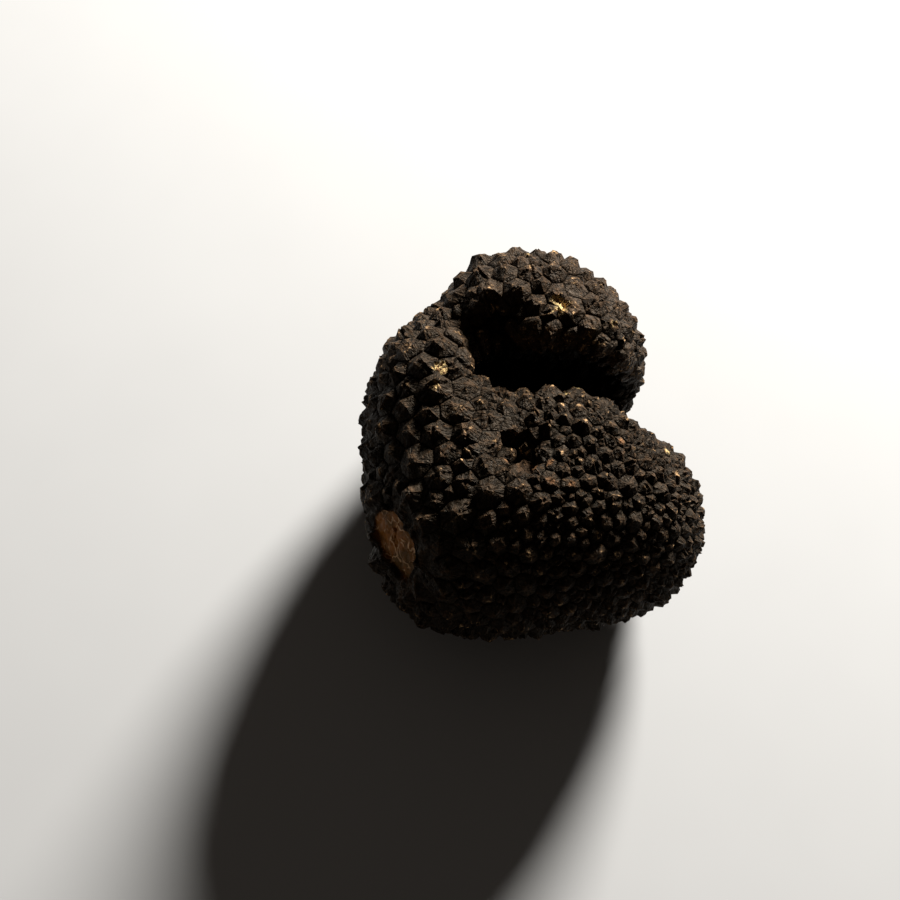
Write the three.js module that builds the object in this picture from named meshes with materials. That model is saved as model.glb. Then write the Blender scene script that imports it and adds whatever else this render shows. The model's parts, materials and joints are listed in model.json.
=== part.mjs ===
// A black truffle, lying on a small flat spot. Millimetres, +Z up, +X to its right, +Y away.
// The origin is the middle of the flat spot that it rests on.
//
// The fruit body grew as one piece: a near lobe and a far lobe, joined along the left flank and
// folded round a deep cleft that opens to the right. Its skin is covered in pyramid warts. Each
// wart is one cell of a net laid over the body: its foot is the cell's outline, sunk a little as
// a valley, and its sides rise to a small blunt crown.
import * as THREE from 'three';
import { mergeVertices } from 'three/addons/utils/BufferGeometryUtils.js';
import { SimplexNoise } from 'three/addons/math/SimplexNoise.js';

// ---- driving dimensions ----------------------------------------------------------------------

// Lobes: centre, half-axes and turn about Z in degrees.
const NEAR_LOBE = { at: [-1.7, -10.1, 20.3], half: [23.3, 20.9, 19.8], turn: 0 };
const NEAR_TAPER = { at: [13.9, -10.8, 18.5], half: [17.2, 16.8, 17.5], turn: -14 };
const NEAR_CREST = { at: [9.2, -1.4, 20.0], half: [11.6, 13.8, 17.0], turn: 0 };
const NEAR_HEEL = { at: [-10.7, -15.4, 19.5], half: [12.8, 13.5, 17.5], turn: 0 };
const FAR_LOBE = { at: [1.7, 22.0, 19.0], half: [17.2, 15.6, 18.0], turn: 0 };
const FAR_SHOULDER = { at: [12.0, 17.6, 20.0], half: [9.8, 12.2, 15.5], turn: 0 };
const LEFT_FLANK = { at: [-13.8, 6.6, 19.5], half: [12.4, 20.0, 17.5], turn: -6 };
const BELLY = { at: [0, 0, 12.0], half: [19.0, 21.0, 13.2], turn: 0 };

// Hollows. Each rolls about Z and then leans about X by its tilt, and straight is half the
// length over which it keeps its section. The cleft bends at the middle: two stretches of a
// narrow mouth, over two stretches of a wider pocket. A short branch lies behind its left end.
// The nick is where a scrap of skin has come off: along is the direction of its length, and
// facing looks out of it.
const CLEFT = [
  { at: [3.0, 11.0, 32.0], half: [3.6, 2.7, 11.0], straight: 7.6, tilt: 12, roll: -5 },
  { at: [17.2, 7.6, 30.0], half: [3.6, 2.7, 11.0], straight: 8.0, tilt: 12, roll: -22 },
  { at: [3.8, 12.4, 24.5], half: [4.0, 4.0, 6.3], straight: 6.6, tilt: 12, roll: -5 },
  { at: [17.2, 9.2, 22.5], half: [4.0, 4.0, 6.3], straight: 8.0, tilt: 12, roll: -22 },
  { at: [-5.5, 17.6, 34.8], half: [2.4, 2.0, 4.4], straight: 2.4, tilt: 14, roll: 10 },
];
const DIMPLE = { at: [-0.4, -6.4, 40.6], half: [4.2, 3.8, 6.6], tilt: 10, roll: -20 };
const NICK = {
  at: [-21.3, -18.5, 27.7],
  half: [6.3, 4.3, 1.4],
  along: [0.38, -0.91, -0.12],
  facing: [-0.82, -0.42, 0.39],
};

// How softly the lobes run into each other and how soft the hollows' rims are.
const BLEND = { near: 6, crest: 4, heel: 4, far: 4, flank: 6, lobes: 3, belly: 5, cleft: 2 };
const RIM = { cleft: 2.0, dimple: 2.5, nick: 0.5 };

// The skin under the warts lies this far inside the lobes.
const SKIN_INSET = 0.6;

// The net of warts: a ball of 1002 points, drawn in step by step. The hollows start this far
// above their place and sink to it over the first steps.
const NET_DETAIL = 9;
const NET_STEPS = 650;
const CARVE_STEPS = 350;
const CARVE_RISE = 22;
const SEED = 20571;

// Each side of the net pulls until it is this share of the mean length for its two warts.
const SLACK = 0.82;
const PULL = 0.2;
const LONGEST_MOVE = 1.2;

// In the first steps this share of the net's diagonals is swapped by chance, so that the warts
// have four to eight sides. At the end any fold left in the net is ironed out.
const SHUFFLE_STEPS = 60;
const SHUFFLE = 0.12;
const LEAST_OUTWARD = 0.3;
const IRON_STEPS = 60;

// Width of a wart by place, and how much one differs from the next.
const WART_WIDTH = { left: 5.0, right: 2.7, farLeft: 4.8, farRight: 3.6, under: 4.6, hollow: 3.2 };
const WIDTH_SPREAD = 0.3;
const PATCH_SPREAD = 0.14;

// A wart's height, and the reach and shift of its crown, as shares of its own width. Wide warts
// are flatter than narrow ones. A crown point drops by up to CROWN_DROP of the height.
const NARROW_WART = 3.0;
const WIDE_WART = 5.4;
const WART_HEIGHT = { narrow: 0.38, wide: 0.31 };
const HEIGHT_SPREAD = 0.2;
const CROWN_REACH = { low: 0.12, high: 0.29 };
const CROWN_DROP = 0.28;
const CROWN_SHIFT = 0.07;
const VALLEY_DEPTH = 0.25;

// Warts are lower, down to the least share, where another wall is nearer than this reach.
const OPEN_REACH = 2.0;
const LEAST_OPEN = 0.55;

// Skin within this of the nick is bare of warts.
const NICK_EDGE = 0.7;

// A crown is eased in by this factor, up to so many times, while a side is too steep.
const CROWN_TRIALS = 6;
const CROWN_EASE = 0.75;
const STEEPEST_SIDE = 0.35;

const SKIN_COLOUR = 0x2a231e;

// ---- seeded draws ----------------------------------------------------------------------------

let drawState = SEED;

function draw() {
  drawState = (drawState + 0x6d2b79f5) | 0;
  let t = Math.imul(drawState ^ (drawState >>> 15), 1 | drawState);
  t = (t + Math.imul(t ^ (t >>> 7), 61 | t)) ^ t;
  return ((t ^ (t >>> 14)) >>> 0) / 4294967296;
}

const between = (low, high) => low + (high - low) * draw();
const mix = THREE.MathUtils.lerp;
const ease = THREE.MathUtils.smoothstep;

// ---- the body, as a distance from its skin ----------------------------------------------------

// An ellipsoid ready to be measured from: its turn is undone before its half-axes are used.
function lobe({ at, half, straight = 0, turn = 0, tilt = 0, roll = 0, along, facing }) {
  const turned = new THREE.Matrix4().makeRotationX(THREE.MathUtils.degToRad(tilt));
  turned.multiply(new THREE.Matrix4().makeRotationZ(THREE.MathUtils.degToRad(turn + roll)));
  if (facing) {
    const out = new THREE.Vector3(...facing).normalize();
    const across = out.clone().cross(new THREE.Vector3(...along)).normalize();
    turned.makeBasis(across.clone().cross(out), across, out);
  }
  return {
    centre: new THREE.Vector3(...at),
    half: new THREE.Vector3(...half),
    straight,
    undo: turned.invert(),
    lean: new THREE.Vector3(0, -Math.sin(THREE.MathUtils.degToRad(tilt)),
      Math.cos(THREE.MathUtils.degToRad(tilt))),
  };
}

const nearLobe = lobe(NEAR_LOBE);
const nearTaper = lobe(NEAR_TAPER);
const nearCrest = lobe(NEAR_CREST);
const nearHeel = lobe(NEAR_HEEL);
const farLobe = lobe(FAR_LOBE);
const farShoulder = lobe(FAR_SHOULDER);
const leftFlank = lobe(LEFT_FLANK);
const belly = lobe(BELLY);
const cleft = CLEFT.map(lobe);
const dimple = lobe(DIMPLE);
const nick = lobe(NICK);

const local = new THREE.Vector3();

// Distance from an ellipsoid raised along its own lean, near enough beside its surface.
function toLobe(point, shape, raised = 0) {
  local.copy(point).sub(shape.centre).addScaledVector(shape.lean, -raised);
  local.applyMatrix4(shape.undo);
  local.x -= THREE.MathUtils.clamp(local.x, -shape.straight, shape.straight);
  local.divide(shape.half);
  const inUnits = local.length();
  const slope = local.divide(shape.half).length() + 1e-9;
  return (inUnits * (inUnits - 1)) / slope;
}

function join(a, b, soft) {
  const share = THREE.MathUtils.clamp(0.5 + (0.5 * (b - a)) / soft, 0, 1);
  return mix(b, a, share) - soft * share * (1 - share);
}

const carve = (a, hollow, soft) => -join(-a, hollow, soft);

const toCleft = (point, raised) => cleft
  .map((stretch) => toLobe(point, stretch, raised))
  .reduce((a, b) => join(a, b, BLEND.cleft));

// Distance from the skin. The hollows sink to their place as raised falls to 0.
function toSkin(point, raised = 0) {
  let nearSide = join(toLobe(point, nearLobe), toLobe(point, nearTaper), BLEND.near);
  nearSide = join(nearSide, toLobe(point, nearCrest), BLEND.crest);
  nearSide = join(nearSide, toLobe(point, nearHeel), BLEND.heel);
  const farSide = join(toLobe(point, farLobe), toLobe(point, farShoulder), BLEND.far);
  let body = join(nearSide, toLobe(point, leftFlank), BLEND.flank);
  body = join(body, farSide, BLEND.lobes);
  body = join(body, toLobe(point, belly), BLEND.belly);
  body = carve(body, toCleft(point, raised), RIM.cleft);
  body = carve(body, toLobe(point, dimple, raised), RIM.dimple);
  body = carve(body, toLobe(point, nick), RIM.nick);
  return body + SKIN_INSET;
}

const probe = new THREE.Vector3();
const AXES = ['x', 'y', 'z'];

// Outward direction at a point, with its slope kept as its length.
function outward(point, raised, out) {
  const reach = 0.05;
  for (const axis of AXES) {
    probe.copy(point);
    probe[axis] += reach;
    const ahead = toSkin(probe, raised);
    probe[axis] -= 2 * reach;
    out[axis] = (ahead - toSkin(probe, raised)) / (2 * reach);
  }
  return out;
}

const slope = new THREE.Vector3();

function ontoSkin(point, raised = 0) {
  outward(point, raised, slope);
  point.addScaledVector(slope, -toSkin(point, raised) / Math.max(slope.lengthSq(), 0.1));
}

// ---- the net: one point for each wart ---------------------------------------------------------

const noise = new SimplexNoise({ random: draw });

// Width wanted for a wart at a place: broad on the left and far lobes, small at the right end
// and in the hollows.
function widthAt(p) {
  const nearWidth = mix(WART_WIDTH.left, WART_WIDTH.right, ease(p.x, -17, 9));
  const farWidth = mix(WART_WIDTH.farLeft, WART_WIDTH.farRight, ease(p.x, -2, 20));
  const above = mix(nearWidth, farWidth, ease(p.y, 6, 14));
  const outside = mix(WART_WIDTH.under, above, ease(p.z, 2, 14));
  const fromHollow = Math.min(toCleft(p, 0), toLobe(p, dimple));
  const width = mix(WART_WIDTH.hollow, outside, ease(fromHollow, 0.3, 3));
  return width * (1 + PATCH_SPREAD * noise.noise3d(p.x / 7, p.y / 7, p.z / 7));
}

function startingNet() {
  const ball = new THREE.IcosahedronGeometry(1, NET_DETAIL);
  ball.deleteAttribute('normal');
  ball.deleteAttribute('uv');
  const merged = mergeVertices(ball, 1e-4);
  const places = merged.getAttribute('position');
  const points = [];
  for (let i = 0; i < places.count; i += 1) {
    const p = new THREE.Vector3().fromBufferAttribute(places, i);
    p.x += 0.25;
    p.normalize().multiply(new THREE.Vector3(34, 40, 26)).add(new THREE.Vector3(0, 2, 19));
    points.push(p);
  }
  const faces = [];
  for (let i = 0; i < merged.index.count; i += 3) {
    faces.push([merged.index.getX(i), merged.index.getX(i + 1), merged.index.getX(i + 2)]);
  }
  return { points, faces };
}

const edgeKey = (a, b) => a * 100000 + b;

// Which face lies left of each directed edge.
function edgeFaces(faces) {
  const owner = new Map();
  faces.forEach((face, f) => {
    for (let k = 0; k < 3; k += 1) owner.set(edgeKey(face[k], face[(k + 1) % 3]), f);
  });
  return owner;
}

const sideAB = new THREE.Vector3();
const sideAC = new THREE.Vector3();
const faceMiddle = new THREE.Vector3();

function facesOut(points, a, b, c, raised) {
  sideAB.copy(points[b]).sub(points[a]);
  sideAC.copy(points[c]).sub(points[a]);
  sideAB.cross(sideAC);
  faceMiddle.copy(points[a]).add(points[b]).add(points[c]).divideScalar(3);
  outward(faceMiddle, raised, slope);
  return sideAB.dot(slope) > LEAST_OUTWARD * sideAB.length() * slope.length();
}

// Swap the longer diagonal of two neighbouring faces for the shorter one, or any by chance.
function swapDiagonals(points, faces, widths, raised, chance) {
  const owner = edgeFaces(faces);
  const degree = new Array(points.length).fill(0);
  for (const key of owner.keys()) degree[Math.floor(key / 100000)] += 1;
  const relative = (a, b) => points[a].distanceTo(points[b]) / (widths[a] + widths[b]);
  for (const key of [...owner.keys()]) {
    const a = Math.floor(key / 100000);
    const b = key % 100000;
    const left = owner.get(key);
    const right = owner.get(edgeKey(b, a));
    if (a > b || left === undefined || right === undefined) continue;
    const c = faces[left].find((v) => v !== a && v !== b);
    const d = faces[right].find((v) => v !== a && v !== b);
    if (owner.has(edgeKey(c, d)) || owner.has(edgeKey(d, c))) continue;
    if (degree[a] < 5 || degree[b] < 5 || degree[c] > 7 || degree[d] > 7) continue;
    if (relative(a, b) < 1.08 * relative(c, d) && draw() >= chance) continue;
    if (!facesOut(points, a, d, c, raised) || !facesOut(points, d, b, c, raised)) continue;
    faces[left] = [a, d, c];
    faces[right] = [d, b, c];
    owner.delete(key);
    owner.delete(edgeKey(b, a));
    for (const f of [left, right]) {
      for (let k = 0; k < 3; k += 1) owner.set(edgeKey(faces[f][k], faces[f][(k + 1) % 3]), f);
    }
    degree[a] -= 1;
    degree[b] -= 1;
    degree[c] += 1;
    degree[d] += 1;
  }
}

// Move the points of any face that has turned over towards the middle of their neighbours.
function ironFolds(points, faces) {
  const folded = new Set();
  for (const [a, b, c] of faces) {
    if (!facesOut(points, a, b, c, 0)) [a, b, c].forEach((v) => folded.add(v));
  }
  const sums = new Map([...folded].map((v) => [v, { total: new THREE.Vector3(), count: 0 }]));
  for (const face of faces) {
    for (let k = 0; k < 3; k += 1) {
      const sum = sums.get(face[k]);
      if (!sum) continue;
      sum.total.add(points[face[(k + 1) % 3]]).add(points[face[(k + 2) % 3]]);
      sum.count += 2;
    }
  }
  for (const [v, { total, count }] of sums) {
    points[v].lerp(total.divideScalar(count), 0.5);
    ontoSkin(points[v]);
  }
}

// Draw the net onto the body, sink it into the hollows, and spread its points by wart width.
function settledNet() {
  const { points, faces } = startingNet();
  const own = points.map(() => 1 + between(-WIDTH_SPREAD, WIDTH_SPREAD));
  const pull = points.map(() => new THREE.Vector3());
  const along = new THREE.Vector3();
  for (let step = 0; step < NET_STEPS; step += 1) {
    const raised = CARVE_RISE * Math.max(0, 1 - step / CARVE_STEPS);
    const widths = points.map((p, i) => widthAt(p) * own[i]);
    const edges = [];
    for (const face of faces) {
      for (let k = 0; k < 3; k += 1) {
        if (face[k] < face[(k + 1) % 3]) edges.push([face[k], face[(k + 1) % 3]]);
      }
    }
    const stretch = ([a, b]) => (2 * points[a].distanceTo(points[b])) / (widths[a] + widths[b]);
    const mean = edges.reduce((sum, edge) => sum + stretch(edge), 0) / edges.length;
    pull.forEach((v) => v.set(0, 0, 0));
    for (const edge of edges) {
      const [a, b] = edge;
      const strain = PULL * (stretch(edge) / mean - SLACK);
      along.copy(points[b]).sub(points[a]).multiplyScalar(strain);
      pull[a].add(along);
      pull[b].sub(along);
    }
    points.forEach((p, i) => {
      outward(p, raised, slope).normalize();
      pull[i].addScaledVector(slope, -pull[i].dot(slope));
      p.add(pull[i].clampLength(0, LONGEST_MOVE));
      ontoSkin(p, raised);
      ontoSkin(p, raised);
    });
    const chance = step < SHUFFLE_STEPS ? SHUFFLE : 0;
    if (step % 4 === 3) swapDiagonals(points, faces, widths, raised, chance);
  }
  for (let step = 0; step < IRON_STEPS; step += 1) ironFolds(points, faces);
  return { points, faces };
}

// ---- warts -----------------------------------------------------------------------------------

// The faces round each point of the net, in turning order: the corners of its wart.
function cornersOf(faces, count) {
  const next = Array.from({ length: count }, () => new Map());
  faces.forEach((face, f) => {
    for (let k = 0; k < 3; k += 1) {
      next[face[k]].set(face[(k + 1) % 3], { to: face[(k + 2) % 3], face: f });
    }
  });
  return next.map((turns) => {
    const ring = [];
    const first = turns.keys().next().value;
    let at = first;
    do {
      const turn = turns.get(at);
      ring.push(turn.face);
      at = turn.to;
    } while (at !== first);
    return ring;
  });
}

// How open the skin lies to the outside: 1 on a plain stretch, less in the cleft.
function openness(point, normal) {
  probe.copy(point).addScaledVector(normal, OPEN_REACH);
  return THREE.MathUtils.clamp(toSkin(probe.clone()) / OPEN_REACH, LEAST_OPEN, 1);
}

function leansOut(vertices, [a, b, c], normal) {
  sideAB.copy(vertices[b]).sub(vertices[a]);
  sideAC.copy(vertices[c]).sub(vertices[a]);
  sideAB.cross(sideAC);
  return sideAB.dot(normal) > STEEPEST_SIDE * sideAB.length();
}

function wartSolid() {
  const { points, faces } = settledNet();
  const rings = cornersOf(faces, points.length);
  const vertices = faces.map(([a, b, c]) => {
    const corner = points[a].clone().add(points[b]).add(points[c]).divideScalar(3);
    ontoSkin(corner);
    const down = outward(corner, 0, new THREE.Vector3()).normalize();
    return corner.addScaledVector(down, -VALLEY_DEPTH);
  });
  const triangles = [];

  points.forEach((centre, i) => {
    const ring = rings[i];
    const normal = outward(centre, 0, new THREE.Vector3()).normalize();
    const across = new THREE.Vector3(0, 0, 1).cross(normal);
    if (across.length() < 0.2) across.set(1, 0, 0).cross(normal);
    across.normalize();
    const up = normal.clone().cross(across);
    const middle = new THREE.Vector3();
    ring.forEach((q) => middle.addScaledVector(vertices[q], 1 / ring.length));
    const width = 2 * ring.reduce((sum, q) => sum + vertices[q].distanceTo(middle), 0) / ring.length;
    const flat = THREE.MathUtils.smoothstep(width, NARROW_WART, WIDE_WART);
    const usual = THREE.MathUtils.lerp(WART_HEIGHT.narrow, WART_HEIGHT.wide, flat);
    const share = usual * between(1 - HEIGHT_SPREAD, 1 + HEIGHT_SPREAD) * openness(centre, normal);
    const bare = toLobe(centre, nick) < NICK_EDGE;
    const height = bare ? 0 : width * share + VALLEY_DEPTH;
    const reach = width * between(CROWN_REACH.low, CROWN_REACH.high);
    const shift = across.clone().multiplyScalar(width * between(-CROWN_SHIFT, CROWN_SHIFT));
    shift.addScaledVector(up, width * between(-CROWN_SHIFT, CROWN_SHIFT));
    const sides = draw() < 0.6 ? 3 : 4;
    const start = between(0, 2 * Math.PI);
    const crown = [];
    for (let k = 0; k < sides; k += 1) {
      const angle = start + (2 * Math.PI * (k + between(-0.12, 0.12))) / sides;
      const spoke = across.clone().multiplyScalar(Math.cos(angle));
      spoke.addScaledVector(up, Math.sin(angle));
      crown.push({ index: vertices.length + k, spoke, rise: height * (1 - between(0, CROWN_DROP)) });
    }

    // Each side of the foot rises to the crown point that faces it most nearly.
    const sidesOfWart = [];
    const facing = ring.map((q, j) => {
      const half = vertices[q].clone().add(vertices[ring[(j + 1) % ring.length]]);
      half.multiplyScalar(0.5).sub(middle).sub(shift);
      const turned = crown.map((tip) => -half.dot(tip.spoke));
      return turned.indexOf(Math.min(...turned));
    });
    ring.forEach((q, j) => {
      const after = (j + 1) % ring.length;
      sidesOfWart.push([q, ring[after], crown[facing[j]].index]);
      for (let k = facing[j]; k !== facing[after]; k = (k + 1) % sides) {
        sidesOfWart.push([ring[after], crown[(k + 1) % sides].index, crown[k].index]);
      }
    });

    // A crown that would overhang its foot is drawn in and lowered until it doesn't.
    for (let trial = 0; trial < CROWN_TRIALS; trial += 1) {
      const drawn = CROWN_EASE ** trial;
      for (const { index, spoke, rise } of crown) {
        vertices[index] = middle.clone().addScaledVector(normal, rise * drawn);
        vertices[index].addScaledVector(shift, drawn).addScaledVector(spoke, reach * drawn);
      }
      if (sidesOfWart.every((side) => leansOut(vertices, side, normal))) break;
    }
    triangles.push(...sidesOfWart);
    for (let k = 1; k + 1 < sides; k += 1) {
      triangles.push([crown[0].index, crown[k].index, crown[k + 1].index]);
    }
  });

  // What would lie below the surface it rests on is pressed flat.
  vertices.forEach((v) => {
    v.z = Math.max(v.z, 0);
  });
  const geometry = new THREE.BufferGeometry();
  geometry.setAttribute('position',
    new THREE.Float32BufferAttribute(vertices.flatMap((v) => v.toArray()), 3));
  geometry.setIndex(triangles.flat());
  return geometry;
}

// ---- the part --------------------------------------------------------------------------------

const skin = new THREE.MeshStandardMaterial({
  color: SKIN_COLOUR,
  roughness: 0.92,
  metalness: 0,
  flatShading: true,
});
const truffle = new THREE.Mesh(wartSolid(), skin);
truffle.name = 'truffle';

const group = new THREE.Group();
group.name = 'black_truffle';
group.add(truffle);

export default group;
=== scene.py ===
import json
import math
import random

import bmesh
import bpy
import numpy as np
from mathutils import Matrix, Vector, noise
from mathutils.bvhtree import BVHTree

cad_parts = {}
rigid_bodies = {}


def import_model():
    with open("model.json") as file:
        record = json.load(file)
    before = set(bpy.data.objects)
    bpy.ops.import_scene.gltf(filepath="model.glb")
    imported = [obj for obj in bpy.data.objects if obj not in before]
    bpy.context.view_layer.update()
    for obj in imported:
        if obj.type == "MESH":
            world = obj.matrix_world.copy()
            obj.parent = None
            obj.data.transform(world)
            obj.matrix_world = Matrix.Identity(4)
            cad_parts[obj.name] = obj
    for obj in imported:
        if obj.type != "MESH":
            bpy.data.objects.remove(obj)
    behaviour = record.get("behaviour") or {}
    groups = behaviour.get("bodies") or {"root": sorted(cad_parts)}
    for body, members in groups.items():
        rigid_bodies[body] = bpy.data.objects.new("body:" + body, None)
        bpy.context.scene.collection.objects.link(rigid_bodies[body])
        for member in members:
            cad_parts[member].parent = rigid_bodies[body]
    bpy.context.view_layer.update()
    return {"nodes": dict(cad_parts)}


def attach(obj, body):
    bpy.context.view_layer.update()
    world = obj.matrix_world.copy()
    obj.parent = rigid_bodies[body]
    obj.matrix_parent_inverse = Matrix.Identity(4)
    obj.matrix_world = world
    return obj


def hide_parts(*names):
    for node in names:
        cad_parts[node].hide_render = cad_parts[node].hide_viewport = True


for thing in list(bpy.data.objects):
    bpy.data.objects.remove(thing, do_unlink=True)

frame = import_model()

MM = 0.001
rng = random.Random(4187)

# ---- the truffle's own marks, in millimetres -------------------------------------------------

# Where a scrap of skin has come off and the flesh shows: its middle, the ways out of it and
# along it, and its outline in that plane as (along, across).
NICK_AT = np.array([-20.6, -18.2, 27.4])
NICK_OUT = np.array([-0.82, -0.42, 0.39])
NICK_ALONG = np.array([0.40, -0.91, -0.13])
NICK_OUTLINE = [
    (-6.4, -4.0), (-5.8, 0.1), (-4.0, 2.9), (-1.8, 3.4), (1.6, 5.4), (3.6, 4.1),
    (5.5, 1.1), (6.7, -1.7), (5.3, -3.3), (1.8, -4.6), (-1.6, -5.8), (-4.0, -5.6),
]
NICK_DEPTH = 0.85
NICK_REACH = 9
NICK_RIM = 0.3
NICK_RIM_HALF = 0.28

# The skin round the nick has low knobs in place of warts, out to this far from its middle.
KNOBS_REACH = 11
KNOB_WIDTH = 2.6
KNOB_EDGE = 0.35

# Warts with a piece broken off: place, radius, how deep the break goes, and which flesh shows.
# A break is at the tip, or where it says so at the place itself, on the wart's shoulder.
BREAKS = [
    {"at": (6.4, 20.8, 35.9), "radius": 1.5, "deep": 0.35, "shows": "pale", "shoulder": True},
    {"at": (-13.0, 9.0, 36.3), "radius": 1.25, "deep": 0.25, "shows": "pale", "shoulder": True},
    {"at": (-11.9, 5.5, 36.6), "radius": 0.8, "deep": 0.2, "shows": "pale"},
    {"at": (15.2, -2.6, 35.2), "radius": 0.9, "deep": 0.25, "shows": "rust"},
    {"at": (-4.0, -8.0, 37.8), "radius": 0.8, "deep": 0.15, "shows": "rust"},
    {"at": (23.7, -3.7, 29.7), "radius": 0.9, "deep": 0.25, "shows": "pale"},
    {"at": (5.7, 5.5, 33.6), "radius": 0.6, "deep": 0.2, "shows": "pale"},
    {"at": (11.4, 7.3, 30.2), "radius": 0.6, "deep": 0.2, "shows": "pale"},
    {"at": (3.0, -8.8, 37.7), "radius": 0.6, "deep": 0.15, "shows": "rust"},
    {"at": (4.9, -8.7, 38.7), "radius": 0.6, "deep": 0.15, "shows": "rust"},
    {"at": (5.3, -12.4, 38.9), "radius": 0.7, "deep": 0.15, "shows": "rust"},
    {"at": (6.9, -12.3, 38.5), "radius": 0.5, "deep": 0.15, "shows": "rust"},
    {"at": (13.6, 13.8, 34.0), "radius": 0.6, "deep": 0.2, "shows": "pale"},
    {"at": (3.2, 31.7, 32.3), "radius": 0.7, "deep": 0.2, "shows": "pale"},
]
BREAK_REACH = 3
SHOULDER_LEAN = 0.5

# A small pit at the near end of the dimple.
PIT_AT = np.array([0.6, -8.8, 37.3])
PIT_HALF = np.array([1.7, 2.6, 2.2])
PIT_WAY = np.array([0, 0.1, 0.99])
PIT_DEPTH = 1.1

# The cracks that run across some crowns: how each is turned, in how many of the warts it is,
# and how deep it goes.
CRACKS = [
    {"turn": 0.0, "share": 0.45, "deep": 0.42},
    {"turn": 1.9, "share": 0.25, "deep": 0.3},
]
CRACK_HALF = 0.2

# The space round the cleft, and the ways in which its walls look for open air, so far out, for the
# painted shade on those walls.
CLEFT_BOX = ((-12, 4, 8), (27, 24, 35))
CLEFT_RAYS = [
    (0, 0, 1), (0.5, 0, 1), (-0.5, 0, 1), (0, 0.5, 1),
    (0, -0.5, 1), (0.6, 0.6, 0.8), (0.6, -0.6, 0.8), (1, 0, 0.6),
]
CLEFT_LOOK = 30
CLEFT_START = 0.6

# ---- the relief of a wart --------------------------------------------------------------------

# Widths of a wart's cell, in millimetres: over the first two a wart stops counting as small,
# and over the next two a cell counts as several warts in one.
SMALL_WARTS = (4.0, 7.5)
MERGED_WARTS = (8.0, 10.0)

# A wart that rises less than this over its foot, in millimetres, is bare skin.
LOWEST_WART = 0.4

# How far along Y the far lobe begins.
FAR_LOBE = (8, 18)

# How far each part of the relief moves the skin, in millimetres.
WANDER = 0.10
FINE_SKIN = 0.05
FINE_CROWN = 0.13
CRUMBS = 0.16
PLEATS = 0.09
VALLEY = 0.13
VALLEY_IF_WIDE = 0.2

# These two go with the wart's width: how far a flank bulges, from the fullest wart to the most
# sagging one, and how far the foot of a wart is lifted.
BULGE_MOST = 0.03
BULGE_RANGE = 0.08
LIFT = 0.07

# The share of a wart's rise over which its valley is sunk.
VALLEY_HALF = 0.12

# A way that no wart points in, from which the ways across each of them are worked out.
SIDEWAYS = np.array([0.3, 0.5, 0.81])

# ---- mesh ------------------------------------------------------------------------------------

# The longest edges, in millimetres: on the skin, on the underside and round the nick.
FINE = 0.64
FINE_BELOW = 1.3
FINE_NICK = 0.32
FINE_NICK_REACH = 7.5
UNDERSIDE_SLOPE = -0.45
UNDERSIDE_TOP = 12
REFINE_TIMES = 6
SHARP = math.radians(16)
UNTANGLE_STEPS = 12
ON_THE_FLOOR = 0.02


def field(places, size, octaves=3, seed=0.0):
    """Fractal noise over the points, about -1 to 1, with its largest features this size."""
    shift = Vector((seed * 7.3, seed * 3.1, seed * 5.7))
    return np.array([
        noise.fractal(Vector(p) / size + shift, 1.0, 2.0, octaves, noise_basis="PERLIN_ORIGINAL")
        for p in places
    ])


def smooth(x, low, high):
    """Rises from 0 at low to 1 at high, flat at both ends."""
    t = np.clip((x - low) / (high - low), 0, 1)
    return t * t * (3 - 2 * t)


def unit(v):
    return v / np.linalg.norm(v, axis=-1, keepdims=True)


def ways_across(axis):
    """Two ways square to each axis and to each other."""
    side = unit(np.cross(axis, SIDEWAYS))
    return side, np.cross(axis, side)


def label_rise(bm):
    """Marks each point of the solid as crown, 1, or valley, 0."""
    rise = bm.verts.layers.float.new("rise")
    bm.normal_update()
    for v in bm.verts:
        near = [e.other_vert(v).co for e in v.link_edges]
        middle = sum(near, Vector()) / len(near)
        v[rise] = 1.0 if (v.co - middle).dot(v.normal) > 0 else 0.0
    return rise


def wart_facts(members, rise):
    """A wart's crown, axis, width in millimetres, its own draws, and whether it is bare skin."""
    # each point once and in the faces' own order, so that the sums come out the same every time
    points = list(dict.fromkeys(v for f in members for v in f.verts))
    crown = [v for v in points if v[rise] > 0.5]
    foot = [v for v in points if v[rise] <= 0.5]
    top = sum((v.co for v in crown), Vector()) / max(len(crown), 1)
    base = sum((v.co for v in foot), Vector()) / max(len(foot), 1)
    axis = sum((f.normal * f.calc_area() for f in members), Vector())
    area = sum(f.calc_area() for f in members) / MM**2
    return {
        "top": np.array(top) / MM, "axis": unit(np.array(axis)), "width": math.sqrt(area),
        "random": rng.random(), "turn": rng.random(),
        "bare": (top - base).dot(axis.normalized()) < LOWEST_WART * MM,
    }


def mark_warts(bm):
    """Marks each face with its wart and each edge as sharp or smooth; returns the warts."""
    rise = label_rise(bm)
    wart = bm.faces.layers.int.new("wart_id")
    for f in bm.faces:
        f[wart] = -1
    warts = []
    for start in bm.faces:
        if start[wart] >= 0:
            continue
        start[wart] = len(warts)
        members = [start]
        for face in members:
            for v in face.verts:
                if v[rise] < 0.5:
                    continue
                for other in v.link_faces:
                    if other[wart] < 0:
                        other[wart] = len(warts)
                        members.append(other)
        warts.append(wart_facts(members, rise))
    for e in bm.edges:
        e.smooth = abs(e.calc_face_angle_signed(0.0)) < SHARP
    return warts


def longest(middle, edge):
    """The length in millimetres over which an edge is cut in half."""
    if (Vector(NICK_AT) - middle).length < FINE_NICK_REACH:
        return FINE_NICK
    level = sum(f.normal.z for f in edge.link_faces) / len(edge.link_faces)
    return FINE_BELOW if level < UNDERSIDE_SLOPE and middle.z < UNDERSIDE_TOP else FINE


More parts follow.
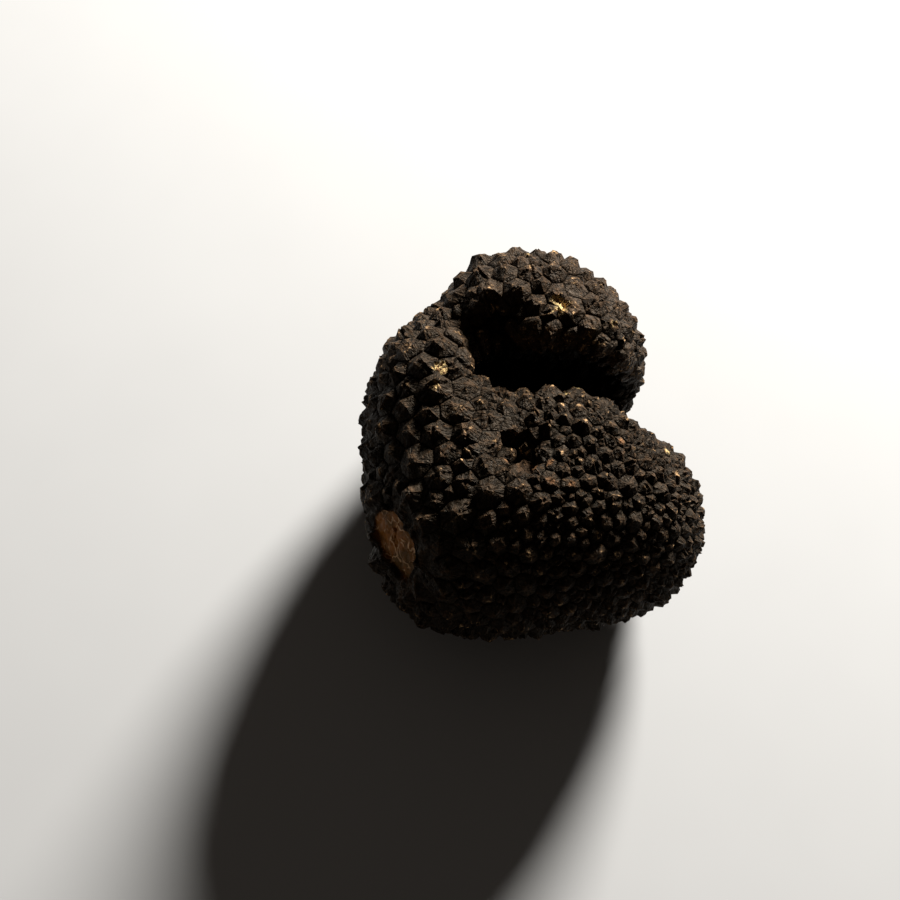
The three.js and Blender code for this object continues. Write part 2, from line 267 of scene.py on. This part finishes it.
def cut_corners(face, middles):
    """Splits a triangle whose edges have been halved into triangles, none of them flat."""
    left = [face]
    while left:
        f = left.pop()
        if len(f.verts) == 3:
            continue
        ring = list(f.verts)
        count = len(ring)
        halved = [v in middles for v in ring]
        ends = None
        for k in range(count):
            if not halved[k] and halved[k - 1] and halved[(k + 1) % count]:
                ends = ring[k - 1], ring[(k + 1) % count]
                break
        if ends is None:
            ways = [(ring[k], ring[(k + 2) % 4]) for k in range(4) if halved[k]]
            ends = min(ways, key=lambda way: (way[0].co - way[1].co).length)
        other, _ = bmesh.utils.face_split(f, *ends)
        left += [f, other]


def refine(bm):
    """Halves the long edges, over and over, until none is left."""
    for _ in range(REFINE_TIMES):
        cut = []
        for e in bm.edges:
            middle = (e.verts[0].co + e.verts[1].co) / (2 * MM)
            if e.calc_length() / MM > longest(middle, e):
                cut.append(e)
        if not cut:
            break
        made = bmesh.ops.bisect_edges(bm, edges=cut, cuts=1)["geom_split"]
        middles = {v for v in made if isinstance(v, bmesh.types.BMVert)}
        for f in [f for f in bm.faces if len(f.verts) > 3]:
            cut_corners(f, middles)
        bm.normal_update()


def inside(outline, along, across):
    """Distance in from a closed outline, below 0 outside it."""
    best = np.full(len(along), 1e9)
    within = np.zeros(len(along), bool)
    for (a0, c0), (a1, c1) in zip(outline, outline[1:] + outline[:1]):
        da, dc = a1 - a0, c1 - c0
        t = np.clip(((along - a0) * da + (across - c0) * dc) / (da * da + dc * dc), 0, 1)
        best = np.minimum(best, np.hypot(along - a0 - t * da, across - c0 - t * dc))
        crosses = (c0 > across) != (c1 > across)
        within ^= crosses & (along < a0 + da * (across - c0) / (dc if dc else 1e-9))
    return np.where(within, best, -best)


class Body:
    """The fruit body's points, normals and marks as arrays, in millimetres."""

    def __init__(self, bm, warts):
        rise = bm.verts.layers.float["rise"]
        wart = bm.faces.layers.int["wart_id"]
        bm.verts.index_update()
        self.p = np.array([v.co[:] for v in bm.verts]) / MM
        self.rise = np.array([v[rise] for v in bm.verts])
        self.face = np.array([[v.index for v in f.verts] for f in bm.faces])
        self.face_wart = np.array([f[wart] for f in bm.faces])
        self.wart = np.zeros(len(self.p), int)
        for k in range(3):
            self.wart[self.face[:, k]] = self.face_wart
        for key in ("top", "axis", "width", "random", "turn"):
            setattr(self, key, np.array([w[key] for w in warts]))
        self.small = 1 - smooth(self.width[self.wart], *SMALL_WARTS)
        self.edges = np.array([[v.index for v in e.verts] for e in bm.edges])
        near = np.linalg.norm(self.p - NICK_AT, axis=1) < KNOBS_REACH
        bare = np.array([w["bare"] for w in warts])
        self.bare = self.spread((bare[self.wart] & near).astype(float), 3)
        for mark in ("pale", "rust", "flesh", "deep"):
            setattr(self, mark, np.zeros(len(self.p)))
        self.base = self.normals()

    def normals(self):
        a, b, c = (self.p[self.face[:, k]] for k in range(3))
        n = np.cross(b - a, c - a)
        out = np.zeros_like(self.p)
        for k in range(3):
            np.add.at(out, self.face[:, k], n)
        return out / np.maximum(np.linalg.norm(out, axis=1, keepdims=True), 1e-12)

    def spread(self, values, times):
        """Each point's value averaged with its neighbours', so many times over."""
        for _ in range(times):
            total, count = values.copy(), np.ones(len(values))
            for a, b in (self.edges.T, self.edges.T[::-1]):
                np.add.at(total, a, values[b])
                np.add.at(count, a, 1)
            values = total / count
        return values

    def push(self, amount):
        """Moves each point out along its normal."""
        self.p += self.normals() * amount[:, None]


def shape_warts(b):
    """Crumbled crowns, bulging or sagging pleated flanks, and narrow sunk valleys."""
    wander = field(b.p, 2.2, 2, 1.0)
    fine = field(b.p, 0.95, 3, 2.0)
    crumb = field(b.p, 0.55, 2, 4.0)
    valley = np.exp(-(b.rise / VALLEY_HALF) ** 2)
    crown = smooth(b.rise, 0.55, 0.95)
    flank = np.sin(np.pi * np.clip(b.rise, 0, 1))
    width = b.width[b.wart]
    far = smooth(b.p[:, 1], *FAR_LOBE)
    bulge = BULGE_MOST - BULGE_RANGE * b.random[b.wart] + 0.03 * far
    bulge = 0.5 * flank * bulge * width
    calm = np.clip(width / SMALL_WARTS[1], 0.35, 1) * (1 - 0.3 * far)
    side, up = ways_across(b.axis[b.wart])
    off = b.p - b.top[b.wart]
    angle = np.arctan2((off * up).sum(1), (off * side).sum(1))
    wide = 1 - b.small
    single = 1 - smooth(width, *MERGED_WARTS)
    lift = LIFT * width * (0.6 + 0.4 * wide) * single * (1 - smooth(b.rise, 0.0, 0.7))
    pleats = np.floor(6 + 4 * b.turn[b.wart])
    pleat = np.sin(pleats * angle + 6.3 * b.random[b.wart] + 1.6 * field(b.p, 1.5, 2, 8.0))
    rough = WANDER * wander + fine * (FINE_SKIN + FINE_CROWN * crown) + CRUMBS * crumb * crown
    sunk = (VALLEY + VALLEY_IF_WIDE * wide * single) * valley
    b.push(calm * rough + bulge + PLEATS * flank * pleat * wide + lift - sunk)


def cobble(b):
    """Low crowded knobs on the skin round the nick, which has no warts of its own."""
    for i in np.nonzero(b.bare > 0.02)[0]:
        far, _ = noise.voronoi(Vector(b.p[i]) / KNOB_WIDTH)
        knob = min((far[1] - far[0]) / KNOB_EDGE, 1)
        b.p[i] += b.base[i] * b.bare[i] * (knob * (2 - knob) - 0.35)
        b.rise[i] += b.bare[i] * (knob - b.rise[i])


def split_warts(b):
    """Some warts are split by one or two cracks that run across the crown."""
    for crack in CRACKS:
        side, up = ways_across(b.axis[b.wart])
        turn = crack["turn"]
        angle = b.turn[b.wart] * 6.283 + turn
        across = side * np.cos(angle)[:, None] + up * np.sin(angle)[:, None]
        off = ((b.p - b.top[b.wart]) * across).sum(1) + 0.25 * field(b.p, 1.4, 2, 3.0 + turn)
        cracked = ((b.turn[b.wart] * 7.13 + turn) % 1.0) < crack["share"]
        line = np.exp(-(off / CRACK_HALF) ** 2) * smooth(b.rise, 0.05, 0.35) * cracked
        b.push(-crack["deep"] * line)


def break_tips(b):
    """Cuts each broken wart off along a rough face, and marks the flesh that shows there."""
    for tip in BREAKS:
        at = np.array(tip["at"])
        crowns = np.linalg.norm(b.top - at, axis=1)
        best = int(np.argmin(crowns))
        axis, top = b.axis[best], b.top[best]
        if tip.get("shoulder"):
            axis = unit(axis + SHOULDER_LEAN * unit(at - top))
            top = at
        off = b.p - top
        height = off @ axis
        beside = np.linalg.norm(off - height[:, None] * axis, axis=1)
        near = smooth(tip["radius"] * 1.15 - beside, 0, 0.25 * tip["radius"])
        near = near * (np.abs(height) < BREAK_REACH)
        rough = (0.14 + 0.1 * tip["radius"]) * field(b.p, 0.9, 2, 5.0)
        over = np.maximum(height + tip["deep"] + rough, 0) * near
        b.p -= axis * over[:, None]
        mark = smooth(over, 0.02, 0.15) * smooth(field(b.p, 1.2, 3, 9.0), -0.32, -0.12)
        setattr(b, tip["shows"], np.maximum(getattr(b, tip["shows"]), mark))


def open_nick(b):
    """Lowers the skin inside the nick's outline to a rough floor, and raises a rim round it."""
    out = unit(NICK_OUT)
    along = unit(NICK_ALONG - out * (NICK_ALONG @ out))
    across = np.cross(out, along)
    off = b.p - NICK_AT
    a, c, o = off @ along, off @ across, off @ out
    depth = inside(NICK_OUTLINE, a, c) + 0.3 * field(b.p, 1.6, 2, 6.0)
    here = np.linalg.norm(off, axis=1) < NICK_REACH
    depth = np.where(here, depth, -NICK_REACH)
    flesh = smooth(depth, 0.0, 0.3)
    floor = -NICK_DEPTH - 0.004 * (a * a + c * c) + 0.16 * field(b.p, 1.3, 3, 7.0)
    b.p += out * ((floor - o) * flesh)[:, None]
    rim = np.exp(-((depth + 0.25) / NICK_RIM_HALF) ** 2)
    b.p += out * (NICK_RIM * rim * (1 - flesh))[:, None]
    b.flesh = flesh


def sink_pit(b):
    off = (b.p - PIT_AT) / PIT_HALF
    reach = np.linalg.norm(off, axis=1)
    dent = smooth(1.25 - reach, 0, 0.9)
    b.p -= PIT_WAY * (PIT_DEPTH * dent)[:, None]
    b.rust = np.maximum(b.rust, 0.14 * smooth(1.1 - reach, 0, 0.4))


def untangle(b, clean):
    """Eases faces that cross each other back towards the clean shape that they came from."""
    check = np.arange(len(b.face))
    for _ in range(UNTANGLE_STEPS):
        whole = BVHTree.FromPolygons(b.p.tolist(), b.face.tolist())
        part = BVHTree.FromPolygons(b.p.tolist(), b.face[check].tolist())
        pairs = np.array(part.overlap(whole))
        one, two = check[pairs[:, 0]], pairs[:, 1]
        joined = (b.face[one][:, :, None] == b.face[two][:, None, :]).any((1, 2))
        crossing = np.unique(np.concatenate([one[~joined], two[~joined]]))
        if not len(crossing):
            break
        pull = np.zeros(len(b.p))
        pull[b.face[crossing]] = 1
        pull = np.maximum(pull, b.spread(pull, 1))
        b.p += (clean - b.p) * (0.5 * pull)[:, None]
        check = np.nonzero((pull[b.face] > 0).any(1))[0]


def shade_cleft(b):
    """How far each point of the cleft's walls is shut in by the lobes, from 0 to 1: the mask of the
    painted shade that darkens them.
    """
    tree = BVHTree.FromPolygons(b.p.tolist(), b.face.tolist())
    ways = [Vector(w).normalized() for w in CLEFT_RAYS]
    low, high = np.array(CLEFT_BOX)
    for i in np.nonzero(((b.p > low) & (b.p < high)).all(1))[0]:
        start = Vector(b.p[i] + b.base[i] * CLEFT_START)
        shut = sum(tree.ray_cast(start, way, CLEFT_LOOK)[0] is not None for way in ways)
        b.deep[i] = shut / len(ways)
    b.deep = b.spread(b.deep, 2)


def write_marks(me, b):
    """Keeps each point's marks on the mesh for the material to read."""
    ridge = np.zeros(len(b.p))
    for e in me.edges:
        if e.use_edge_sharp:
            ridge[list(e.vertices)] = 1
    ridge *= smooth(b.rise, 0.02, 0.2)
    # The material paints shade from deep, how shut in the cleft's walls are, and a highlight along
    # ridge, the sharp edges.
    marks = {
        "rise": b.rise, "ridge": ridge, "pale": b.pale, "rust": b.rust, "flesh": b.flesh,
        "lump": b.random[b.wart], "small": b.small, "deep": b.deep,
    }
    for name, values in marks.items():
        layer = me.attributes.get(name) or me.attributes.new(name, "FLOAT", "POINT")
        layer.data.foreach_set("value", values.astype(np.float32))


def write_spokes(me, b):
    """Where each corner lies round its own wart's crown: across, up, and the wart's draw."""
    side, up = ways_across(b.axis[b.face_wart])
    spoke = np.zeros((len(b.face), 3, 3), np.float32)
    for k in range(3):
        off = b.p[b.face[:, k]] - b.top[b.face_wart]
        spoke[:, k, 0] = (off * side).sum(1)
        spoke[:, k, 1] = (off * up).sum(1)
        spoke[:, k, 2] = b.random[b.face_wart]
    layer = me.attributes.new("spoke", "FLOAT_VECTOR", "CORNER")
    layer.data.foreach_set("vector", spoke.reshape(-1))


def build_body():
    bm = bmesh.new()
    bm.from_mesh(frame["nodes"]["truffle"].data)
    bmesh.ops.remove_doubles(bm, verts=bm.verts, dist=1e-6)
    warts = mark_warts(bm)
    refine(bm)
    b = Body(bm, warts)
    rest = b.p[:, 2] < ON_THE_FLOOR
    settled = b.p.copy()
    shape_warts(b)
    cobble(b)
    split_warts(b)
    break_tips(b)
    open_nick(b)
    sink_pit(b)
    shade_cleft(b)
    b.p[rest] = settled[rest]
    b.p[:, 2] = np.maximum(b.p[:, 2], 0)
    untangle(b, settled)
    for v, p in zip(bm.verts, b.p):
        v.co = p * MM
    me = bpy.data.meshes.new("truffle_fruit_body")
    bm.to_mesh(me)
    bm.free()
    write_marks(me, b)
    write_spokes(me, b)
    piece = bpy.data.objects.new("truffle_fruit_body", me)
    bpy.context.scene.collection.objects.link(piece)
    return piece


# ---- materials -------------------------------------------------------------------------------


class Shader:
    """A material's nodes, added one after another."""

    def __init__(self, name):
        self.material = bpy.data.materials.new(name)
        self.material.use_nodes = True
        self.tree = self.material.node_tree
        self.surface = self.tree.nodes["Principled BSDF"]

    def add(self, kind, inputs=(), **settings):
        node = self.tree.nodes.new(kind)
        for key, value in settings.items():
            setattr(node, key, value)
        for key, value in dict(inputs).items():
            self.feed(node.inputs[key], value)
        return node

    def feed(self, socket, value):
        if isinstance(value, bpy.types.NodeSocket):
            self.tree.links.new(value, socket)
        else:
            socket.default_value = value

    def math(self, operation, a, b=0.0):
        return self.add("ShaderNodeMath", {0: a, 1: b}, operation=operation).outputs[0]

    def times(self, a, b):
        return self.math("MULTIPLY", a, b)

    def plus(self, a, b):
        return self.math("ADD", a, b)

    def centred(self, value):
        """A noise moved so that it lies about 0."""
        return self.math("SUBTRACT", value, 0.5)

    def ramp(self, value, low, high, start=0.0, end=1.0):
        node = self.add("ShaderNodeMapRange", {"Value": value, "From Min": low, "From Max": high,
                                               "To Min": start, "To Max": end},
                        interpolation_type="SMOOTHSTEP")
        return node.outputs["Result"]

    def threads(self, value, low, high):
        """Thin lines along which a noise passes through its middle."""
        return self.ramp(self.math("ABSOLUTE", self.centred(value)), low, high, 1.0, 0.0)

    def mix(self, share, a, b):
        node = self.add("ShaderNodeMix", data_type="RGBA")
        self.feed(node.inputs[0], share)
        self.feed(node.inputs[6], a)
        self.feed(node.inputs[7], b)
        return node.outputs[2]

    def noise(self, place, scale, detail=3.0, roughness=0.55):
        return self.add("ShaderNodeTexNoise", {"Vector": place, "Scale": scale, "Detail": detail,
                                               "Roughness": roughness}).outputs["Fac"]

    def mark(self, name, output="Fac"):
        return self.add("ShaderNodeAttribute", attribute_name=name).outputs[output]

    def vector(self, x, y, z=0.0):
        return self.add("ShaderNodeCombineXYZ", {"X": x, "Y": y, "Z": z}).outputs[0]

    def parts(self, vector):
        return self.add("ShaderNodeSeparateXYZ", {"Vector": vector}).outputs

    def vectors(self, operation, inputs, output="Vector"):
        return self.add("ShaderNodeVectorMath", inputs, operation=operation).outputs[output]


# Near-black: the skin's random dark grain, and painted shade in the valleys, wrinkles, fissures and
# cleft.
DARK_AND_PAINTED_SHADE = (0.0032, 0.0026, 0.002, 1)
BARK = (0.0182, 0.0122, 0.0073, 1)
BARK_FAR = (0.0285, 0.0178, 0.0102, 1)
# Warm brown: worn crowns and bands round the warts, and a painted highlight along the ridges.
WARM_BROWN_AND_HIGHLIGHT = (0.072, 0.040, 0.020, 1)
CRUMB = (0.40, 0.25, 0.125, 1)
GOLD = (0.60, 0.44, 0.20, 1)
RUST = (0.17, 0.082, 0.036, 1)
FLESH = (0.245, 0.082, 0.007, 1)
FLESH_DARK = (0.092, 0.041, 0.005, 1)
VEIN = (0.66, 0.40, 0.22, 1)
GLOSS_TINT = (1.0, 0.80, 0.56, 1)

# How close each pattern is, in cells to the metre.
CLOSE = {
    "grain": 2600, "crumble": 1300, "patch": 110, "speck": 1500, "specked part": 420,
    "fissured part": 600, "crease": 620, "creased part": 330, "bow of a wrinkle": 480,
    "waver of a band": 500, "banded part": 320, "bend of a vein": 260, "vein": 430,
    "veined part": 380, "thread": 330, "threaded part": 290, "shade of the flesh": 260,
}

# The same for what runs round a crown, where one cell is one part of the turn.
FISSURES_ROUND = 2.6
WRINKLES_ROUND = 2.9

# The heights over which the crowns turn warmer, and the places along Y over which the skin
# turns browner, in metres.
WARMER_UP = (0.010, 0.028)
BROWNER_FAR = (0.010, 0.024)


def round_the_crown(s):
    """The way out from the wart's crown, with a number of its own, and the distance out."""
    across, up, draw = s.parts(s.mark("spoke", "Vector"))
    flat = s.vector(across, up)
    reach = s.vectors("LENGTH", {0: flat}, "Value")
    way = s.parts(s.vectors("NORMALIZE", {0: flat}))
    return s.vector(way[0], way[1], s.times(draw, 37.0)), reach


def fissure_lines(s, place, way, reach):
    """Fissures that fan out from the crown, and creases that cross them."""
    fan = s.math("ABSOLUTE", s.centred(s.noise(way, FISSURES_ROUND, 2.0, 0.6)))
    fissure = s.ramp(s.times(fan, s.plus(reach, 0.35)), 0.03, 0.11, 1.0, 0.0)
    fissure = s.times(fissure, s.ramp(s.noise(place, CLOSE["fissured part"], 2.0), 0.40, 0.54))
    crease = s.threads(s.noise(place, CLOSE["crease"], 1.5, 0.4), 0.004, 0.035)
    crease = s.times(crease, s.ramp(s.noise(place, CLOSE["creased part"], 2.0), 0.46, 0.58))
    return s.math("MAXIMUM", fissure, crease)


def wrinkle_waves(s, place, way, reach):
    """Broad wrinkles that run out from the crown and bow a little."""
    bow = s.times(s.centred(s.noise(place, CLOSE["bow of a wrinkle"], 1.0)), 1.6)
    wavy = s.vectors("ADD", {0: way, 1: s.vector(bow, bow, s.times(reach, 0.3))})
    wave = s.centred(s.noise(wavy, WRINKLES_ROUND, 2.0, 0.5))
    return s.times(wave, s.ramp(reach, 0.15, 1.3))


def warm_share(s, place, rise, crumble):
    """Where the skin is warm brown: crumbly crowns, and the ridges, whose warm lines are a painted
    highlight; fewer of them low down.
    """
    crown = s.times(s.ramp(rise, 0.6, 0.98), s.ramp(crumble, 0.38, 0.62))
    # Painted highlight: a warm line along the sharp ridges between facets.
    edge = s.times(s.mark("ridge"), s.ramp(crumble, 0.45, 0.62))
    warm = s.math("MAXIMUM", s.times(crown, 0.85), s.times(edge, 0.8))
    patch = s.noise(place, CLOSE["patch"], 3.0, 0.5)
    warm = s.times(warm, s.ramp(patch, 0.3, 0.62, 0.45, 1.0))
    return s.times(warm, s.ramp(s.parts(place)[2], *WARMER_UP, 0.5, 1.0))


def speck_share(s, place, rise):
    """Pale specks on the crowns of some warts."""
    chosen = s.ramp(s.math("FRACT", s.times(s.mark("lump"), 17.0)), 0.15, 0.4)
    speck = s.ramp(s.noise(place, CLOSE["speck"], 2.0, 0.5), 0.56, 0.66)
    speck = s.times(s.times(s.ramp(rise, 0.66, 0.95), speck), chosen)
    return s.times(speck, s.ramp(s.noise(place, CLOSE["specked part"], 2.0), 0.42, 0.6))


def band_share(s, place, lines):
    """Faint bands that go round a wart at one height, plainest on wide warts."""
    band = s.times(s.ramp(lines, 0.72, 0.98),
                   s.ramp(s.noise(place, CLOSE["banded part"], 2.0), 0.5, 0.6))
    return s.times(band, s.math("SUBTRACT", 0.6, s.times(s.mark("small"), 0.5)))


def skin_colour(s, place, rise, grain, crumble, lines, fissure, wrinkle):
    far = s.ramp(s.parts(place)[1], *BROWNER_FAR)
    # Painted shade: the valleys between the warts are near-black.
    colour = s.mix(s.ramp(rise, 0.0, 0.1), DARK_AND_PAINTED_SHADE, s.mix(far, BARK, BARK_FAR))
    # Painted shade in the troughs of the wrinkles.
    colour = s.mix(s.ramp(wrinkle, -0.14, 0.02, 0.4, 0.0), colour, DARK_AND_PAINTED_SHADE)
    colour = s.mix(band_share(s, place, lines), colour, WARM_BROWN_AND_HIGHLIGHT)
    colour = s.mix(s.ramp(grain, 0.35, 0.7, 0.0, 0.45), colour, DARK_AND_PAINTED_SHADE)
    # Painted shade along the fissures and creases, which the relief also sinks.
    colour = s.mix(s.times(fissure, 0.8), colour, DARK_AND_PAINTED_SHADE)
    colour = s.mix(warm_share(s, place, rise, crumble), colour, WARM_BROWN_AND_HIGHLIGHT)
    colour = s.mix(speck_share(s, place, rise), colour, CRUMB)
    rusty = s.times(s.mark("rust"), s.ramp(crumble, 0.3, 0.6, 0.5, 1.0))
    colour = s.mix(rusty, colour, RUST)
    golden = s.mix(s.ramp(crumble, 0.44, 0.6), GOLD, RUST)
    colour = s.mix(s.times(s.mark("pale"), s.ramp(crumble, 0.25, 0.45)), colour, golden)
    # Painted shade: the cleft's walls are darkened to near-black as far as the lobes shut them in.
    return s.mix(s.ramp(s.mark("deep"), 0.12, 0.55), colour, DARK_AND_PAINTED_SHADE)


def vein_lines(s, place):
    """Pale veins that wander through the flesh, with finer threads between them."""
    bend = s.add("ShaderNodeTexNoise",
                 {"Vector": place, "Scale": CLOSE["bend of a vein"], "Detail": 2.0})
    bend = s.vectors("SUBTRACT", {0: bend.outputs["Color"], 1: (0.5, 0.5, 0.5)})
    bend = s.vectors("SCALE", {0: bend, "Scale": 0.0036})
    bent = s.vectors("ADD", {0: place, 1: bend})
    cells = s.add("ShaderNodeTexVoronoi", {"Vector": bent, "Scale": CLOSE["vein"]},
                  feature="DISTANCE_TO_EDGE")
    vein = s.ramp(cells.outputs["Distance"], 0.015, 0.075, 1.0, 0.0)
    vein = s.times(vein, s.ramp(s.noise(place, CLOSE["veined part"], 2.0), 0.48, 0.56))
    thread = s.threads(s.noise(bent, CLOSE["thread"], 1.0, 0.4), 0.004, 0.022)
    thread = s.times(thread, s.ramp(s.noise(place, CLOSE["threaded part"], 2.0), 0.44, 0.54))
    return s.math("MAXIMUM", vein, thread)


def flesh_colour(s, place, vein):
    shade = s.ramp(s.noise(place, CLOSE["shade of the flesh"], 4.0, 0.6), 0.36, 0.62)
    return s.mix(s.times(vein, 0.85), s.mix(shade, FLESH_DARK, FLESH), VEIN)


def relief(s, rise, grain, crumble, lines, fissure, wrinkle, flesh, vein):
    """The finest relief, in millimetres: crumbs, lines and wrinkles, or veins on bare flesh."""
    rough = s.times(s.centred(crumble), s.ramp(rise, 0.3, 0.95, 0.6, 1.6))
    height = s.plus(s.times(rough, 0.24), s.times(grain, 0.07))
    height = s.plus(height, s.times(lines, 0.009))
    height = s.math("SUBTRACT", height, s.times(fissure, 0.3))
    height = s.plus(height, s.times(wrinkle, 0.7))
    height = s.times(height, s.math("SUBTRACT", 1.0, flesh))
    height = s.plus(height, s.times(s.times(vein, flesh), 0.1))
    bump = s.add("ShaderNodeBump", {"Strength": 1.0, "Distance": MM, "Height": height})
    return bump.outputs[0]


def skin_material():
    """Near-black skin with brown crumbly crowns, painted shade in its valleys, wrinkles, fissures
    and cleft, a painted highlight on its ridges, and bare flesh where the skin has gone.
    """
    s = Shader("truffle_skin")
    place = s.add("ShaderNodeTexCoord").outputs["Object"]
    rise, flesh = s.mark("rise"), s.mark("flesh")
    way, reach = round_the_crown(s)
    fissure = fissure_lines(s, place, way, reach)
    wrinkle = wrinkle_waves(s, place, way, reach)
    grain = s.noise(place, CLOSE["grain"], 4.0, 0.62)
    crumble = s.noise(place, CLOSE["crumble"], 4.0, 0.65)
    waver = s.times(s.noise(place, CLOSE["waver of a band"], 2.0), 9.0)
    lines = s.math("SINE", s.plus(s.times(rise, 46.0), waver))
    vein = vein_lines(s, place)

    colour = skin_colour(s, place, rise, grain, crumble, lines, fissure, wrinkle)
    colour = s.mix(flesh, colour, flesh_colour(s, place, vein))
    normal = relief(s, rise, grain, crumble, lines, fissure, wrinkle, flesh, vein)
    s.feed(s.surface.inputs["Base Color"], colour)
    s.feed(s.surface.inputs["Normal"], normal)
    s.feed(s.surface.inputs["Roughness"], s.ramp(crumble, 0.3, 0.7, 0.44, 0.7))
    s.surface.inputs["Specular IOR Level"].default_value = 0.08
    s.surface.inputs["Specular Tint"].default_value = GLOSS_TINT
    return s.material


# ---- the scene -------------------------------------------------------------------------------

FLOOR_HALF = 1.5
FLOOR_DARKER = (0.45, 0.455, 0.46, 1)
FLOOR_PALER = (0.475, 0.48, 0.485, 1)

CAMERA_LENS = 85
CAMERA_SENSOR = 36
CAMERA_TILT = math.radians(66)
CAMERA_AIM = Vector((-11.54, 1.68, 19.65)) * MM
CAMERA_AWAY = 360 * MM

KEY_WAY = Vector((0.43, 0.82, 0.34))
KEY_AIM = Vector((0, 0, 0.02))
KEY_AWAY = 0.7
KEY_SIZE = 0.2
KEY_POWER = 25.0
KEY_COLOUR = (1.0, 0.965, 0.91)

ROOM_COLOUR = (1.0, 0.87, 0.76, 1)
ROOM_STRENGTH = 0.042


def floor_material():
    s = Shader("studio_floor")
    place = s.add("ShaderNodeTexCoord").outputs["Object"]
    s.feed(s.surface.inputs["Base Color"], s.mix(s.noise(place, 40, 2.0), FLOOR_DARKER, FLOOR_PALER))
    s.surface.inputs["Roughness"].default_value = 0.9
    s.surface.inputs["Specular IOR Level"].default_value = 0.1
    return s.material


def build_floor():
    bm = bmesh.new()
    bmesh.ops.create_grid(bm, x_segments=4, y_segments=4, size=FLOOR_HALF)
    me = bpy.data.meshes.new("studio_floor")
    bm.to_mesh(me)
    bm.free()
    floor = bpy.data.objects.new("studio_floor", me)
    floor.data.materials.append(floor_material())
    bpy.context.scene.collection.objects.link(floor)


def aim(thing, back, at, away):
    """Places a camera or lamp this far back from a point, and turns it to the point."""
    thing.rotation_mode = "QUATERNION"
    thing.rotation_quaternion = back.to_track_quat("Z", "Y")
    thing.location = at + back * away


def build_camera():
    data = bpy.data.cameras.new("camera")
    data.lens = CAMERA_LENS
    data.sensor_width = CAMERA_SENSOR
    data.clip_start = 0.01
    camera = bpy.data.objects.new("camera", data)
    back = Vector((0, -math.cos(CAMERA_TILT), math.sin(CAMERA_TILT)))
    aim(camera, back, CAMERA_AIM, CAMERA_AWAY)
    bpy.context.scene.collection.objects.link(camera)
    bpy.context.scene.camera = camera


def build_key_light():
    data = bpy.data.lights.new("key", "AREA")
    data.shape = "DISK"
    data.size = KEY_SIZE
    data.energy = KEY_POWER
    data.color = KEY_COLOUR
    lamp = bpy.data.objects.new("key", data)
    aim(lamp, KEY_WAY.normalized(), KEY_AIM, KEY_AWAY)
    bpy.context.scene.collection.objects.link(lamp)


def build_room_light():
    world = bpy.data.worlds.new("studio")
    world.use_nodes = True
    background = world.node_tree.nodes["Background"]
    background.inputs[0].default_value = ROOM_COLOUR
    background.inputs[1].default_value = ROOM_STRENGTH
    bpy.context.scene.world = world


body = build_body()
body.data.materials.clear()
body.data.materials.append(skin_material())
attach(body, "root")
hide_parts("truffle")

build_floor()
build_camera()
build_key_light()
build_room_light()
bpy.context.scene.view_settings.view_transform = "Standard"
